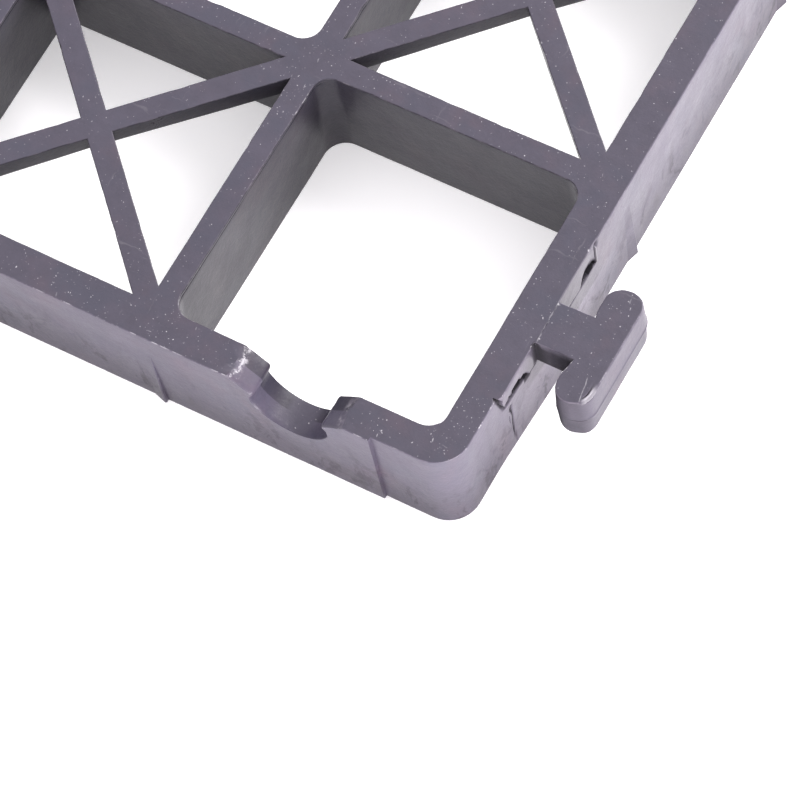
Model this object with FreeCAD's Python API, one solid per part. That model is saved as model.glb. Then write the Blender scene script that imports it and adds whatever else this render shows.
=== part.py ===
import FreeCAD, Part
import math
import os

V = FreeCAD.Vector

# ---------------------------------------------------------------- dimensions
# All in millimetres. The grid lies on its underside, z up, centred on z.

SIDE = 500.0            # across the top of the outer walls, tongues left out
HEIGHT = 40.0           # underside to top face
CELLS = 5               # cells along a side

WALL_OUT = 11.5         # outer wall, at the top
WALL_IN = 7.8           # inner wall, at the top
DRAFT_CELL = 1.0        # each cell face falls back this much by the underside
DRAFT_OUT = 0.9         # the outer faces lean in this much by the underside
EDGE = 0.7              # broken edge along the top

R_OUT = 12.0            # outer corner of the grid, in plan
R_OPEN = 6.0            # inside corner of an open cell, in plan
R_BRACED = 3.0          # inside corner of a braced cell, in plan

ARM_W = 8.0             # diagonal brace, width at the top
ARM_W_LOW = 7.0         # and along its underside
ARM_DEEP_MID = 6.0      # depth of a brace where the two cross
ARM_DEEP_END = 8.5      # depth of a brace at the cell's corner

RIB_W_TOP = 8.4         # low wedge on the outer face, in line with an inner wall
RIB_W_FOOT = 3.4        # and its width at the underside
RIB_PROUD = 0.35        # how far its foot stands past the top edge of the wall
RIB_TOP = 33.0          # where the wedge has run out

RELIEF = 1.2            # the outer faces step back this much at a corner
RELIEF_L = 28.0         # length of that step, each way from the corner
STRIP_H = 11.5          # height of the strip beside a tongue that is not stepped

LINK_AT = 56.2          # tongue or notch centre, from the corner of the grid

STEM_W = 14.4           # tongue: stem between the wall and the head
STEM_SIDE = 11.0        # height of the stem's flat side
STEM_BELLY = 5.0        # its round underside hangs this much lower
HEAD_REACH = 23.8       # far face of the head, from the outer face of the wall
HEAD_T = 12.0           # head thickness at the parting line
HEAD_L = 41.2           # head length, over its round ends
HEAD_H = 20.0           # head height
HEAD_PART = 10.0        # parting line, below the top
HEAD_DRAFT = 0.4        # draft of the head, each way from the parting line
HEAD_EDGE = 1.1         # broken top edge of the head

NOTCH_TOP = 38.0        # notch width at the top of the wall
NOTCH_LIPS = 23.0       # width between the two lips
NOTCH_RAMP = 5.5        # depth of the ramps, from the top to the lips
NOTCH_LIP = 1.5         # height of a lip
NOTCH_BACK = 1.2        # the sides fall back this much under the lips
NOTCH_SIDE = 11.0       # depth where the round bottom starts
NOTCH_DEEP = 20.0       # full depth, at the middle

# ------------------------------------------------------------------- derived
HALF = SIDE / 2.0
CLEAR = (SIDE - 2.0 * WALL_OUT - (CELLS - 1) * WALL_IN) / CELLS
PITCH = CLEAR + WALL_IN
FIRST = -HALF + WALL_OUT + CLEAR / 2.0


def rounded_square(side, r, z, cx=0.0, cy=0.0):
    """A square wire with round corners, level, at height z."""
    h = side / 2.0
    k = r * (1.0 - math.sqrt(0.5))
    e = []
    pts = [
        ((h, -h + r), (h, h - r), (h - k, h - k), (h - r, h)),
        ((h - r, h), (-h + r, h), (-h + k, h - k), (-h, h - r)),
        ((-h, h - r), (-h, -h + r), (-h + k, -h + k), (-h + r, -h)),
        ((-h + r, -h), (h - r, -h), (h - k, -h + k), (h, -h + r)),
    ]
    for a, b, m, c in pts:
        va, vb, vm, vc = [V(cx + p[0], cy + p[1], z) for p in (a, b, m, c)]
        e.append(Part.makeLine(va, vb))
        e.append(Part.Arc(vb, vm, vc).toShape())
    return Part.Wire(e)


def stadium(length, thick, z, cx, cy):
    """A level wire with straight long sides along y and full round ends."""
    r = thick / 2.0
    s = length / 2.0 - r
    a, b = V(cx + r, cy - s, z), V(cx + r, cy + s, z)
    c, d = V(cx - r, cy + s, z), V(cx - r, cy - s, z)
    return Part.Wire([
        Part.makeLine(a, b),
        Part.Arc(b, V(cx, cy + s + r, z), c).toShape(),
        Part.makeLine(c, d),
        Part.Arc(d, V(cx, cy - s - r, z), a).toShape(),
    ])


def prism(points, along):
    """A solid from a closed polygon swept along a vector."""
    vs = [V(*p) for p in points]
    return Part.Face(Part.makePolygon(vs + [vs[0]])).extrude(along)


def turned(shape, quarter):
    """A copy turned by quarter turns about the grid's middle."""
    s = shape.copy()
    s.rotate(V(0, 0, 0), V(0, 0, 1), 90.0 * quarter)
    return s


# ---------------------------------------------------------------- outer block
def outer_block(side, r, low, high):
    """The block inside the outer faces, leaning in towards the underside."""
    slope = DRAFT_OUT / (HEIGHT - EDGE)
    down = slope * (HEIGHT - EDGE + low)
    up = EDGE + high
    return Part.makeLoft([
        rounded_square(side - 2 * down, r - down, -low),
        rounded_square(side, r, HEIGHT - EDGE),
        rounded_square(side - 2 * up, r - up, HEIGHT + high),
    ], True, True)


block = outer_block(SIDE, R_OUT, 0.0, 0.0)

# each corner is stepped back a little, so that laid grids clear one another
inner_block = outer_block(SIDE - 2 * RELIEF, R_OUT, 1.0, 1.0)
corner = Part.makeBox(RELIEF_L + 5.0, RELIEF_L + 5.0, HEIGHT + 1.0,
                      V(HALF - RELIEF_L, -HALF - 5.0, -0.5))
corner = corner.cut(inner_block)
block = block.cut([turned(corner, q) for q in range(4)])


def lean(z):
    """How far the outer face has fallen back at height z."""
    return DRAFT_OUT * (1.0 - z / (HEIGHT - EDGE))


def under_strip():
    """Below the strip, the +x face runs out from the corner to the tongue."""
    y1 = -HALF + RELIEF_L
    y2 = -HALF + LINK_AT
    wires = []
    for z in (-0.5, HEIGHT - STRIP_H):
        x = HALF - lean(z)
        pts = [V(x - RELIEF, y1 - 2.0, z), V(x - RELIEF, y1, z), V(x, y2, z),
               V(x + 4.0, y2, z), V(x + 4.0, y1 - 2.0, z)]
        wires.append(Part.makePolygon(pts + [pts[0]]))
    return Part.makeLoft(wires, True, True)


block = block.cut([turned(under_strip(), q) for q in range(4)])


# ---------------------------------------------------------------------- cells
def cell_void(cx, cy, r):
    """The space of one cell: wider towards the underside, broken top edge."""
    over = 1.0
    slope = DRAFT_CELL / (HEIGHT - EDGE)
    low = slope * (HEIGHT - EDGE + over)
    return Part.makeLoft([
        rounded_square(CLEAR + 2 * low, r + low, -over, cx, cy),
        rounded_square(CLEAR, r, HEIGHT - EDGE, cx, cy),
        rounded_square(CLEAR + 2 * (EDGE + over), r + EDGE + over,
                       HEIGHT + over, cx, cy),
    ], True, True)


centres = [FIRST + i * PITCH for i in range(CELLS)]
voids = []
braced = []
for i, cx in enumerate(centres):
    for j, cy in enumerate(centres):
        if (i + j) % 2 == 0:
            voids.append(cell_void(cx, cy, R_OPEN))
        else:
            voids.append(cell_void(cx, cy, R_BRACED))
            braced.append((cx, cy))

grid = block.cut(voids)


# --------------------------------------------------------------------- braces
def brace(cx, cy, angle):
    """One diagonal arm, flush with the top, shallower in the middle."""
    half = (CLEAR + WALL_IN) / math.sqrt(2.0)
    reach = CLEAR / math.sqrt(2.0)
    w = ARM_W / 2.0
    wl = ARM_W_LOW / 2.0
    top = HEIGHT
    side = prism([
        (-half, -w - 1, top + 1), (half, -w - 1, top + 1),
        (half, -w - 1, top - ARM_DEEP_END),
        (reach - 9.0, -w - 1, top - ARM_DEEP_END + 0.8),
        (0, -w - 1, top - ARM_DEEP_MID),
        (-reach + 9.0, -w - 1, top - ARM_DEEP_END + 0.8),
        (-half, -w - 1, top - ARM_DEEP_END),
    ], V(0, ARM_W + 2, 0))
    section = prism([
        (-half, -wl, top - 12.0), (-half, wl, top - 12.0),
        (-half, w, top - EDGE), (-half, w - EDGE, top),
        (-half, -w + EDGE, top), (-half, -w, top - EDGE),
    ], V(2 * half, 0, 0))
    arm = side.common(section)
    arm.rotate(V(0, 0, 0), V(0, 0, 1), angle)
    arm.translate(V(cx, cy, 0))
    return arm


adds = []
for cx, cy in braced:
    adds.append(brace(cx, cy, 45.0))
    adds.append(brace(cx, cy, -45.0))


# ------------------------------------- wedges on the outer faces, at each wall
def rib(y):
    """A low upright wedge on the +x face, deepest at the underside."""
    wires = []
    for z, x, w in ((0.0, HALF + RIB_PROUD, RIB_W_FOOT / 2.0),
                    (RIB_TOP, HALF - lean(RIB_TOP) - 0.05, RIB_W_TOP / 2.0)):
        pts = [V(HALF - 4.0, y - w, z), V(x, y - w, z),
               V(x, y + w, z), V(HALF - 4.0, y + w, z)]
        wires.append(Part.makePolygon(pts + [pts[0]]))
    return Part.makeLoft(wires, True, True)


for q in range(4):
    for i in range(CELLS - 1):
        adds.append(turned(rib(centres[i] + PITCH / 2.0), q))


# -------------------------------------------------------------------- tongues
def tongue():
    """The hammer-headed tongue of the +x edge, beside its first corner."""
    y = -HALF + LINK_AT
    hx = HALF + HEAD_REACH - HEAD_T / 2.0
    w = STEM_W / 2.0
    x0 = HALF - 3.0
    zs = HEIGHT - STEM_SIDE
    p = [V(x0, y + w, zs), V(x0, y + w, HEIGHT - EDGE),
         V(x0, y + w - EDGE, HEIGHT), V(x0, y - w + EDGE, HEIGHT),
         V(x0, y - w, HEIGHT - EDGE), V(x0, y - w, zs)]
    edges = [Part.makeLine(p[i], p[i + 1]) for i in range(5)]
    edges.append(Part.Arc(p[5], V(x0, y, zs - STEM_BELLY), p[0]).toShape())
    stem = Part.Face(Part.Wire(edges)).extrude(V(hx - x0, 0, 0))
    d = 2 * HEAD_DRAFT
    e = 2 * HEAD_EDGE
    head = Part.makeLoft([
        stadium(HEAD_L - d, HEAD_T - d, HEIGHT - HEAD_H, hx, y),
        stadium(HEAD_L, HEAD_T, HEIGHT - HEAD_PART, hx, y),
        stadium(HEAD_L - d, HEAD_T - d, HEIGHT - HEAD_EDGE, hx, y),
        stadium(HEAD_L - d - e, HEAD_T - d - e, HEIGHT, hx, y),
    ], True, True)
    return stem.fuse(head)


for q in range(4):
    adds.append(turned(tongue(), q))

grid = grid.fuse(adds)


# -------------------------------------------------------------------- notches
def notch():
    """The notch of the +x edge, beside its last corner, through the wall."""
    y = HALF - LINK_AT
    t = NOTCH_TOP / 2.0
    h = NOTCH_LIPS / 2.0
    k = h + NOTCH_BACK
    x0 = HALF - WALL_OUT - 3.0
    over = 2.0
    t2 = t + over * (t - h) / NOTCH_RAMP
    half = [(t2, HEIGHT + over),
            (h, HEIGHT - NOTCH_RAMP),
            (h, HEIGHT - NOTCH_RAMP - NOTCH_LIP),
            (k, HEIGHT - NOTCH_RAMP - NOTCH_LIP - NOTCH_BACK),
            (k, HEIGHT - NOTCH_SIDE)]
    p = [V(x0, y + s, z) for s, z in reversed(half)]
    p += [V(x0, y - s, z) for s, z in half]
    edges = [Part.makeLine(p[i], p[i + 1]) for i in range(len(p) - 1)]
    edges.append(Part.Arc(p[-1], V(x0, y, HEIGHT - NOTCH_DEEP), p[0]).toShape())
    return Part.Face(Part.Wire(edges)).extrude(V(WALL_OUT + 8.0, 0, 0))


grid = grid.cut([turned(notch(), q) for q in range(4)])
grid = grid.removeSplitter()

solids = grid.Solids
if len(solids) != 1:
    raise RuntimeError("the grid should be one solid, got %d" % len(solids))
grid = solids[0]
if not grid.isValid():
    raise RuntimeError("the grid is not a valid solid")

os.makedirs("parts", exist_ok=True)
grid.exportStep("parts/paver_grid.step")

bb = grid.BoundBox
print("paver_grid  volume %.1f cm3  box %.2f %.2f %.2f .. %.2f %.2f %.2f" % (
    grid.Volume / 1000.0, bb.XMin, bb.YMin, bb.ZMin, bb.XMax, bb.YMax, bb.ZMax))
print("clear cell %.2f  pitch %.2f  first %.2f" % (CLEAR, PITCH, FIRST))
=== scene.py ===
import math

import bpy
import bmesh
import numpy as np
from mathutils import Matrix


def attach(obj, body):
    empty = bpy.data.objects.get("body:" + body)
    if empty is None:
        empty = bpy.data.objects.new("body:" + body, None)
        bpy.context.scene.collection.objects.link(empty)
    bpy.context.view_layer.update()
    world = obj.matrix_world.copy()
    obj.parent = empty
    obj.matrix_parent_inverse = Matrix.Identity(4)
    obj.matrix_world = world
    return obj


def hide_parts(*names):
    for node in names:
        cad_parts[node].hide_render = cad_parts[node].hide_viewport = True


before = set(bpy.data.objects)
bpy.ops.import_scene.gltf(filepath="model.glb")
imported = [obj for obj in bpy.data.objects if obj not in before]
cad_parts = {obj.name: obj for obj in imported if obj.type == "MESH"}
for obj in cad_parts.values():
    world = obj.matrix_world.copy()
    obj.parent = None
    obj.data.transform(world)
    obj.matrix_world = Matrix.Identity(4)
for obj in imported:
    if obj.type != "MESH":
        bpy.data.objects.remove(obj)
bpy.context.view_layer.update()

# ---------------------------------------------------------------- dimensions
# Millimetres, the same grid as the CAD model. The mesh is scaled to metres last.
SIDE, H, CELLS = 500.0, 40.0, 5
WALL_OUT, WALL_IN = 11.5, 7.8
DRAFT_CELL, DRAFT_OUT, EDGE = 1.0, 0.9, 0.7
R_OUT, R_OPEN, R_BRACED = 12.0, 6.0, 3.0
ARM_W, ARM_W_LOW, ARM_DEEP_MID, ARM_DEEP_END = 8.0, 7.0, 6.0, 8.5
RIB_W_TOP, RIB_W_FOOT, RIB_PROUD, RIB_TOP = 8.4, 3.4, 0.35, 33.0
RELIEF, RELIEF_L, STRIP_H = 1.2, 28.0, 11.5
LINK_AT = 56.2
STEM_W, STEM_SIDE, STEM_BELLY = 14.4, 11.0, 5.0
HEAD_REACH, HEAD_T, HEAD_L, HEAD_H = 23.8, 12.0, 41.2, 20.0
HEAD_PART, HEAD_DRAFT, HEAD_EDGE = 10.0, 0.4, 1.1
NOTCH_TOP, NOTCH_LIPS, NOTCH_RAMP, NOTCH_LIP = 38.0, 23.0, 5.5, 1.5
NOTCH_BACK, NOTCH_SIDE, NOTCH_DEEP = 1.2, 11.0, 20.0
HALF = SIDE / 2
CLEAR = (SIDE - 2 * WALL_OUT - (CELLS - 1) * WALL_IN) / CELLS
PITCH = CLEAR + WALL_IN
FIRST = -HALF + WALL_OUT + CLEAR / 2
TONGUE_Y = -HALF + LINK_AT
NOTCH_Y = HALF - LINK_AT
Z_SLIT = H - STRIP_H
RE = 0.34               # radius worn on the top edges
HEAD_RE = 0.50          # and on the tongues' heads
CELL_LINE = H - 1.3     # a fine groove left by the mould under the cells' edges


# ------------------------------------------------------------- seeded unevenness
def hashed(i, seed):
    """A fixed number from 0 to 1 for each lattice point."""
    m = np.uint64(0xFFFFFFFF)
    i = i.astype(np.int64).astype(np.uint64)
    h = (i[..., 0] * np.uint64(374761393) + i[..., 1] * np.uint64(668265263)
         + i[..., 2] * np.uint64(2246822519) + np.uint64(seed * 3266489917 + 11)) & m
    h = ((h ^ (h >> np.uint64(13))) * np.uint64(1274126177)) & m
    h = ((h ^ (h >> np.uint64(16))) * np.uint64(2654435761)) & m
    return (h ^ (h >> np.uint64(15))).astype(float) / 4294967296.0


def rough(p, size, seed):
    """Smooth noise from -1 to 1 at points p, with lumps of the given size."""
    q = np.asarray(p, float) / size + 4096.5
    i = np.floor(q)
    f = q - i
    f = f * f * (3 - 2 * f)
    out = 0.0
    for dx in (0, 1):
        for dy in (0, 1):
            for dz in (0, 1):
                w = ((f[..., 0] if dx else 1 - f[..., 0])
                     * (f[..., 1] if dy else 1 - f[..., 1])
                     * (f[..., 2] if dz else 1 - f[..., 2]))
                out = out + w * hashed(i + np.array([dx, dy, dz]), seed)
    return out * 2 - 1


def bell(x, mid, half):
    """1 at mid, falling to 0 at half on either side."""
    k = np.clip(1 - np.abs((x - mid) / half), 0, 1)
    return k * k * (3 - 2 * k)


def ramp(x, a, b):
    """0 before a, 1 after b, smooth between."""
    k = np.clip((x - a) / (b - a), 0, 1)
    return k * k * (3 - 2 * k)


def chips(p, seed):
    """How much is nicked off an edge at points p: mostly none."""
    a = np.maximum(0, rough(p, 2.6, seed) - 0.42) * 0.9
    b = np.maximum(0, rough(p, 7.0, seed + 1) - 0.60) * 0.7
    return np.minimum(a + b, 0.5) + 0.05 * (1 + rough(p, 4.0, seed + 2))


# ------------------------------------------------------------------ mesh helpers
def mesh_object(name, verts, faces):
    me = bpy.data.meshes.new(name)
    me.from_pydata([tuple(v) for v in verts], [], faces)
    me.update()
    ob = bpy.data.objects.new(name, me)
    bpy.context.scene.collection.objects.link(ob)
    return ob


def loft(rings):
    """Vertices and faces of a closed solid through like rings of points."""
    n = len(rings[0])
    verts = np.concatenate(rings)
    faces = [list(range(n))[::-1]]
    for k in range(len(rings) - 1):
        a, b = k * n, (k + 1) * n
        for i in range(n):
            j = (i + 1) % n
            faces.append((a + i, a + j, b + j, b + i))
    last = (len(rings) - 1) * n
    faces.append([last + i for i in range(n)])
    return verts, faces


def joined(name, solids):
    """One object from several separate solids."""
    verts, faces, at = [], [], 0
    for v, f in solids:
        verts.append(v)
        faces += [[i + at for i in g] for g in f]
        at += len(v)
    return mesh_object(name, np.concatenate(verts), faces)


def combine(base, tool, operation):
    """base with tool cut from it or added to it; tool is used up."""
    before = len(base.data.vertices)
    mod = base.modifiers.new("combine", "BOOLEAN")
    mod.object, mod.operation, mod.solver = tool, operation, "MANIFOLD"
    dg = bpy.context.evaluated_depsgraph_get()
    me = bpy.data.meshes.new_from_object(base.evaluated_get(dg))
    base.modifiers.clear()
    if len(me.vertices) == before or len(me.vertices) < 100:
        raise RuntimeError("%s did not combine" % tool.name)
    old = base.data
    base.data = me
    bpy.data.meshes.remove(old)
    used = tool.data
    bpy.data.objects.remove(tool)
    bpy.data.meshes.remove(used)


def turn(p, quarter):
    c, s = [(1, 0), (0, 1), (-1, 0), (0, -1)][quarter % 4]
    q = np.array(p, float)
    q[..., 0], q[..., 1] = p[..., 0] * c - p[..., 1] * s, p[..., 0] * s + p[..., 1] * c
    return q


def spread(a, b, step):
    return list(np.linspace(a, b, max(2, int(math.ceil(abs(b - a) / step)) + 1)))


# ---------------------------------------------------------------- the outer faces
# wear beside each tongue: how open the slit's two hollows are, and the crack
WEAR = [(1.0, 1.0, 1.0), (0.55, 0.25, 0.0), (0.2, 0.6, 0.0), (0.4, 0.45, 0.0)]
# the two hollows: middle and half length from the tongue, height, depth, lip, which wear, seed
HOLLOWS = ((24.3, 4.6, 6.9, 2.7, 0.74, 0, 21), (-20.4, 7.9, 6.8, 2.9, 0.94, 1, 27))


def edge_samples(worn):
    """Places along one outer face, close together where it is damaged."""
    a, k = -HALF + RELIEF_L, TONGUE_Y
    fine = 1.0 if worn else 1.8
    t = spread(-HALF + R_OUT, a - 5, 4) + spread(a - 4.6, a - 0.06, 0.42 * fine)
    t += spread(a + 0.06, k - 24.6, 0.42 * fine) + spread(k - 24.3, k - 20.3, 0.2 if worn else 0.8)
    t += spread(k - 19.9, k - 9.6, 0.5 * fine) + spread(k - 8.8, k + 17.6, 1.1)
    t += spread(k + 18.2, k + 28.0, 0.5 * fine) + spread(k + 28.2, k + 31.2, 0.2 if worn else 0.5)
    t += spread(k + 32, k + 35, 1.0) + spread(k + 38, -a - 2.5, 5) + spread(-a - 0.06, -a + 0.06, 1)
    t += spread(-a + 3, HALF - R_OUT, 4)
    return np.array(t)


def outer_outline():
    n_arc = 9
    p, nrm, where, quarter = [], [], [], []
    for q in range(4):
        t = edge_samples(q == 0)
        e = np.stack([np.full(len(t), HALF), t], 1)
        arc = np.linspace(0, math.pi / 2, n_arc + 2)[1:-1]
        c = HALF - R_OUT
        k = np.stack([c + R_OUT * np.cos(arc), c + R_OUT * np.sin(arc)], 1)
        ne = np.tile([1.0, 0.0], (len(t), 1))
        nk = np.stack([np.cos(arc), np.sin(arc)], 1)
        p.append(turn(np.concatenate([e, k]), q))
        nrm.append(turn(np.concatenate([ne, nk]), q))
        where.append(np.concatenate([t, np.full(n_arc, HALF)]))
        quarter.append(np.full(len(t) + n_arc, q))
    return [np.concatenate(x) for x in (p, nrm, where, quarter)]


def strip_end(z):
    """Where the strip stops along its face: the end slants, lower down it stops sooner."""
    return -HALF + RELIEF_L + 3.2 * np.where(z > Z_SLIT, np.clip((H - z) / STRIP_H, 0, 1), ramp(z, Z_SLIT - 7, Z_SLIT))


def crack_line(z):
    return np.interp(z, [3.5, 5, 9, 14, 19, 23.5, 25], [-21.1, -21.4, -22.1, -22.1, -21.7, -22.3, -22.4])


def outer_rings():
    p0, n0, t, quarter = outer_outline()
    tangent = np.stack([-n0[:, 1], n0[:, 0]], 1)
    s = t - TONGUE_Y
    own = np.array(WEAR)[quarter]
    flat = np.concatenate([p0, np.zeros((len(p0), 1))], 1)
    corner = (np.abs(t) > HALF - RELIEF_L)
    end = -HALF + RELIEF_L
    nick = chips(flat, 3)
    near_end = ramp(t, end - 7, end - 1) * (1 - ramp(t, end + 1, end + 10))
    levels = [(0.0, 0.45), (0.18, 0.14), (0.5, 0.0)]
    levels += [(z, 0.0) for z in (4.5, 8.5, 12.5, 15.5, 18, 20.4, 22.6, 24.0, 25.4, 26.8, 27.6, 28.0,
                                  28.25, 28.42, 28.52, 28.57, 28.62, 28.7, 29.0, 29.4, 29.9, 30.5, 31.2, 32, 32.9,
                                  34.0, 35.4, 36.8, 37.6, 38.4)]
    levels += [(H - RE + RE * math.sin(a), RE * (1 - math.cos(a)))
               for a in np.radians([0, 25, 50, 72, 90])]
    rings = []
    for z, inset in levels:
        at = np.concatenate([p0, np.full((len(p0), 1), z)], 1)
        d = -DRAFT_OUT * (1 - min(z, H - EDGE) / (H - EDGE)) - inset
        d = d + 0.10 * rough(at, 45, 5) + 0.05 * rough(at, 8, 6)
        # the strip's slanting, ragged end
        shift = near_end * (strip_end(z) - end)
        if z > Z_SLIT:
            ragged = bell(t, end, 2.4) * (1 - ramp(z, H - 0.9, H - 0.1))
            shift = shift + ragged * (0.9 * rough(at, 1.7, 33) + 0.5 * rough(at, 0.8, 34))
        s2 = s + shift
        if z < Z_SLIT:
            d = d - RELIEF * np.maximum(corner & (t > 0), np.clip(-s2 / (LINK_AT - RELIEF_L), 0, 1))
        else:
            d = d - RELIEF * corner * np.where(t > 0, 1.0, np.clip(-s2 / (LINK_AT - RELIEF_L), 0, 1))
            broken = np.exp(-((t - end) / 0.8) ** 2) * (t < end) * ramp(z, Z_SLIT + 1.0, Z_SLIT + 4.5)
            d = d - (0.25 + 0.25 * own[:, 0]) * broken * (1 + 0.4 * rough(at, 1.1, 35))
            d = d - own[:, 0] * 0.55 * bell(t, end - 0.2, 1.7) * ramp(z, H - 1.8, H - 0.3) * (1 + 0.7 * rough(at, 0.8, 36))
            # the top edge is bruised beside the stem too
            d = d - own[:, 0] * 0.5 * bell(s, -8.4, 1.5) * ramp(z, H - 1.8, H - 0.2)
        # the slit under the strip: a hairline, broken up on one side
        along = ramp(s2, -25.6, -24.6) * (1 - ramp(s, 28.4, 29.0))
        dots = np.where(s > 7, 0.25 + 0.75 * ramp(rough(flat, 1.5, 9), -0.1, 0.35), 1.0)
        d = d - 0.75 * along * dots * math.exp(-((z - Z_SLIT) / 0.20) ** 2)
        # hollows where the strip did not fill: a shallow dish above, under a lip a deep gap with a gritty ledge
        ledge = min(1.0, max(0.0, (z - 28.44) / 0.26))
        grit = np.zeros(len(p0))
        for mid, half, tall, deep, lip, w, sd in HOLLOWS:
            edge = half * (1 + 0.08 * rough(flat, 1.1, sd))
            span = np.clip(1 - ((s2 - mid) / edge) ** 2, 0, 1) ** 0.5
            top = Z_SLIT + tall * span * (1 + 0.14 * rough(at, 1.6, sd + 1)) + 0.01
            if z > Z_SLIT:
                h = np.clip((z - Z_SLIT) / (top - Z_SLIT), 0, 1)
                dish = 0.40 * span * (1 - h) ** 1.2
                gap = deep * span ** 0.4 * ramp(lip * (1 + 0.2 * rough(flat, 1.9, sd + 3)) - h, 0, 0.13)
                gap = gap * ledge * (0.35 + 0.65 * ramp(t, end, end + 2.0))
                d = d - own[:, w] * (t >= end) * (dish + gap) * (1 + 0.25 * rough(at, 0.8, sd + 2))
                if z < 28.8:
                    there = np.concatenate([p0 + n0 * d[:, None], at[:, 2:]], 1)
                    grit = grit + own[:, w] * span * (t >= end) * (0.15 + 0.30 * rough(there, 0.75, sd + 4))
        if z > Z_SLIT:
            # upright line where the strip begins again, with a thin burr beside it
            up = 1 - ramp(z, 37.0, 38.4)
            d = d - own[:, 0] * up * 0.7 * np.exp(-((s - 28.75) / 0.26) ** 2)
            d = d + own[:, 0] * up * 0.24 * np.exp(-((s - 29.3) / 0.24) ** 2)
            # pit just under the top edge
            d = d - own[:, 0] * 1.5 * np.exp(-((s - 29.7) / 0.85) ** 2 - ((z - 38.1) / 0.55) ** 2)
        if 3.0 < z < Z_SLIT:
            # crack that runs down the face from a pinhole
            fade = min(1, (z - 3.0) / 4) * (1 - ramp(z, 24.2, 25.4)) * (0.75 + 0.35 * math.sin(z * 1.7))
            d = d - own[:, 2] * 1.15 * fade * np.exp(-((s2 - crack_line(z)) / 0.31) ** 2)
            d = d - own[:, 2] * 1.7 * np.exp(-((s2 + 22.3) / 0.5) ** 2 - ((z - 24.0) / 0.9) ** 2)
            d = d - own[:, 2] * 0.7 * bell(z, 18.2, 3.0) * np.exp(-((s + 23.4) / 0.22) ** 2)
        rise = (z - (H - 2.2)) / 2.2
        if rise > 0:
            d = d - nick * rise
        xy = p0 + n0 * d[:, None] + tangent * shift[:, None]
        zz = np.full(len(p0), z)
        wave = (0.30 * rough(flat, 2.3, 12) + 0.18 * rough(flat, 0.9, 13)) * bell(z, Z_SLIT, 2.6)
        zz = zz + wave * along + grit
        rings.append(np.concatenate([xy, zz[:, None]], 1))
    return rings


body = mesh_object("paver_body", *loft(outer_rings()))


# -------------------------------------------------------------------------- cells
def square_outline(half, r, cx, cy, step, n_arc):
    """Points and outward normals round a square with round corners."""
    p, n = [], []
    for q in range(4):
        t = np.array(spread(-half + r, half - r, step))
        e = np.stack([np.full(len(t), half), t], 1)
        arc = np.linspace(0, math.pi / 2, n_arc + 2)[1:-1]
        k = np.stack([half - r + r * np.cos(arc), half - r + r * np.sin(arc)], 1)
        p.append(turn(np.concatenate([e, k]), q))
        n.append(turn(np.concatenate([np.tile([1.0, 0.0], (len(t), 1)),
                                      np.stack([np.cos(arc), np.sin(arc)], 1)]), q))
    return np.concatenate(p) + np.array([cx, cy]), np.concatenate(n)


def cell_void(cx, cy, r, near):
    p0, n0 = square_outline(CLEAR / 2, r, cx, cy, 2.4 if near else 5.0, 8 if near else 5)
    flat = np.concatenate([p0, np.zeros((len(p0), 1))], 1)
    nick = chips(flat, 51)
    levels = [(-1.0, 1.4), (0.0, 0.42), (0.2, 0.12), (0.5, 0.0)]
    levels += [(z, 0.0) for z in (10.0, 20.0, 30.0, 36.5) + ((H - 1.65, CELL_LINE, H - 0.95) if near else (39.2,))]
    line = np.clip(-n0[:, 0], 0, 1) * np.clip(0.6 + 0.8 * rough(flat, 9.0, 57), 0, 1)
    levels += [(H - RE + RE * math.sin(a), RE * (1 - math.cos(a)))
               for a in np.radians([0, 25, 50, 76])]
    tip_z, tip_d = levels[-1]
    levels += [(tip_z + 0.24, tip_d + 0.96), (H + 1.5, tip_d + 1.2)]
    rings = []
    for z, out in levels:
        at = np.concatenate([p0, np.full((len(p0), 1), z)], 1)
        d = DRAFT_CELL * (1 - np.clip(z, 0, H - EDGE) / (H - EDGE)) + out
        d = d + 0.10 * rough(at, 40, 55) + 0.05 * rough(at, 9, 56)
        if z == CELL_LINE:
            d = d + 0.22 * line
        rise = min(1.0, (z - (H - 2.2)) / 2.2)
        if rise > 0:
            d = d + nick * rise
        rings.append(np.concatenate([p0 + n0 * d[:, None], np.full((len(p0), 1), z)], 1))
    return loft(rings)


centres = [FIRST + i * PITCH for i in range(CELLS)]
voids, braced = [], []
for i, cx in enumerate(centres):
    for j, cy in enumerate(centres):
        near = i >= 2 and j <= 2
        if (i + j) % 2:
            braced.append((cx, cy))
        voids.append(cell_void(cx, cy, R_BRACED if (i + j) % 2 else R_OPEN, near))
combine(body, joined("cells", voids), "DIFFERENCE")


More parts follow.
